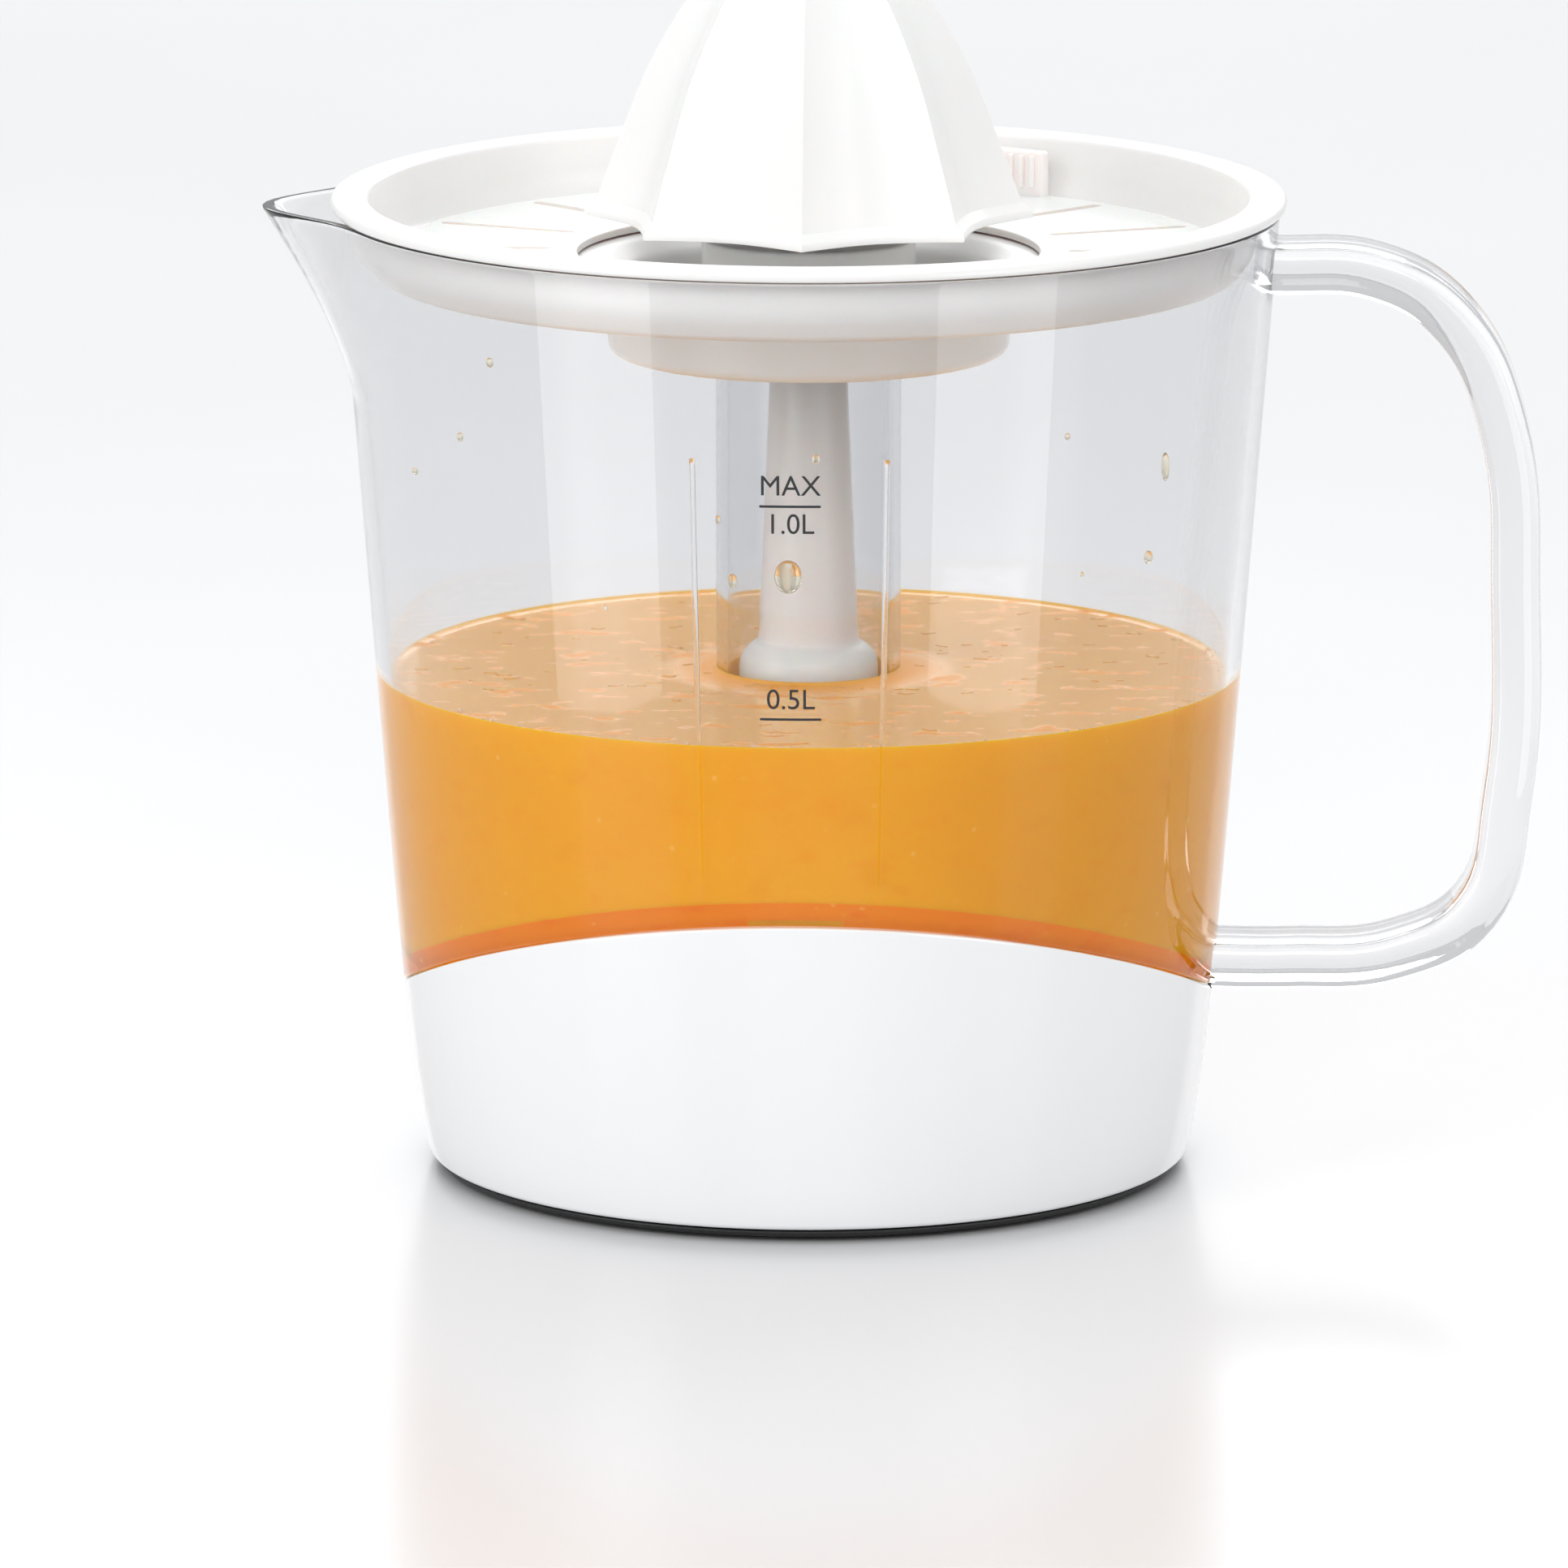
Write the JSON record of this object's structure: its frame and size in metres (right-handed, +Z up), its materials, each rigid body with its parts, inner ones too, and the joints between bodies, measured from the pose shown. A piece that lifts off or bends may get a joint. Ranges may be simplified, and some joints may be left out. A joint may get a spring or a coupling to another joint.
{
  "type": "citrus press juicer",
  "caption": "Citrus press juicer: motor base, clear jug with spout and handle, strainer with pulp ring, sprung spindle and two stacked pressing cones.",
  "frame": {"origin": "on the spindle axis, in the plane of the table", "axes": "+Z up along the spindle, the front with the volume marks towards -Y, the spout towards -X, the handle towards +X"},
  "size_m": [0.2081, 0.1552, 0.207],
  "materials": {
    "white_abs": "glossy",
    "milky_plastic": "satin, slightly translucent",
    "black_plastic": "fine texture",
    "rubber": "matte",
    "clear_plastic": "polished clear moulding",
    "steel": "ground",
    "bronze": "sintered",
    "laminate": "stacked laminations",
    "copper": "enamelled wire",
    "ferrite": "matte",
    "nylon": "satin",
    "acetal": "satin"
  },
  "bodies": {
    "base": {"base_deck": "white_abs", "base_shell": "white_abs", "bobbin_left": "nylon", "bobbin_right": "nylon", "bottom_cover": "black_plastic", "cord_grommet": "rubber", "cover_screw_1": "steel", "cover_screw_2": "steel", "cover_screw_3": "steel", "cover_screw_4": "steel", "foot_back": "rubber", "foot_front": "rubber", "foot_left": "rubber", "foot_right": "rubber", "gear_cover": "nylon", "gear_plate": "steel", "idler_axle": "steel", "lower_bush": "bronze", "motor_bracket": "steel", "motor_core": "laminate", "motor_screw_left": "steel", "motor_screw_right": "steel", "plate_screw_1": "steel", "plate_screw_2": "steel", "plate_screw_3": "steel", "return_spring": "steel", "rotor_bush_lower": "bronze", "rotor_bush_upper": "bronze", "shaft_seal": "rubber", "switch_body": "black_plastic", "upper_bush": "bronze", "winding_left": "copper", "winding_right": "copper"},
    "press": {"press_plunger": "nylon"},
    "spindle": {"spindle_tube": "milky_plastic", "drive_shaft": "steel", "retaining_clip": "steel"},
    "output_gear": {"output_gear": "acetal"},
    "idler": {"idler_gear": "acetal"},
    "rotor": {"rotor_shaft": "steel", "rotor_magnet": "ferrite"},
    "switch_lever": {"switch_lever": "steel"},
    "switch_button": {"switch_button": "nylon"},
    "jug": {"jug": "clear_plastic"},
    "strainer": {"strainer_bowl": "white_abs", "strainer_floor": "white_abs", "strainer_well": "white_abs", "strainer_sleeve": "white_abs"},
    "pulp_ring": {"pulp_ring": "milky_plastic"},
    "cone_carrier": {"glide_ring": "nylon"},
    "reamer": {"reamer": "white_abs"},
    "large_cone": {"large_cone": "white_abs"}
  },
  "joints": [
    {"name": "spindle_spin", "type": "hinge", "parent": "press", "child": "spindle", "pos_m": [0, 0, 0], "axis": [0, 0, 1], "continuous": true},
    {"name": "press", "type": "slide", "parent": "base", "child": "press", "axis": [0, 0, -1], "range_m": [0, 0.003], "stiffness_N_per_m": 2500, "springref_m": -0.004, "deforming": ["return_spring"]},
    {"name": "output_spin", "type": "hinge", "parent": "base", "child": "output_gear", "pos_m": [0, 0, 0], "axis": [0, 0, 1], "continuous": true},
    {"name": "idler_spin", "type": "hinge", "parent": "base", "child": "idler", "pos_m": [0.01607, -0.0151, 0], "axis": [0, 0, 1], "continuous": true},
    {"name": "rotor_spin", "type": "hinge", "parent": "base", "child": "rotor", "pos_m": [0, -0.02, 0], "axis": [0, 0, 1], "continuous": true},
    {"name": "lever_tilt", "type": "hinge", "parent": "base", "child": "switch_lever", "pos_m": [-0.028, 0, 0.01305], "axis": [0, 1, 0], "range_deg": [0, 8.6]},
    {"name": "button_travel", "type": "slide", "parent": "base", "child": "switch_button", "axis": [0, 0, -1], "range_m": [0, 0.0012]},
    {"name": "jug_lift", "type": "slide", "parent": "base", "child": "jug", "axis": [0, 0, 1], "range_m": [0, 0.12]},
    {"name": "strainer_lift", "type": "slide", "parent": "jug", "child": "strainer", "axis": [0, 0, 1], "range_m": [0, 0.06]},
    {"name": "pulp_adjust", "type": "hinge", "parent": "strainer", "child": "pulp_ring", "pos_m": [0, 0, 0.15], "axis": [0, 0, 1], "range_deg": [0, 11.25]},
    {"name": "cone_press", "type": "slide", "parent": "strainer", "child": "cone_carrier", "axis": [0, 0, -1], "range_m": [0, 0.003]},
    {"name": "reamer_spin", "type": "hinge", "parent": "cone_carrier", "child": "reamer", "pos_m": [0, 0, 0.16], "axis": [0, 0, 1], "continuous": true},
    {"name": "large_cone_lift", "type": "slide", "parent": "reamer", "child": "large_cone", "axis": [0, 0, 1], "range_m": [0, 0.06]}
  ],
  "couplings": [
    {"joint": "output_spin", "follows": "spindle_spin", "ratio": 1},
    {"joint": "idler_spin", "follows": "spindle_spin", "ratio": -6},
    {"joint": "rotor_spin", "follows": "spindle_spin", "ratio": 36},
    {"joint": "reamer_spin", "follows": "spindle_spin", "ratio": 1},
    {"joint": "lever_tilt", "follows": "press", "rad_per_m": 49},
    {"joint": "button_travel", "follows": "press", "ratio": 0.39},
    {"joint": "cone_press", "follows": "press", "ratio": 1}
  ]
}
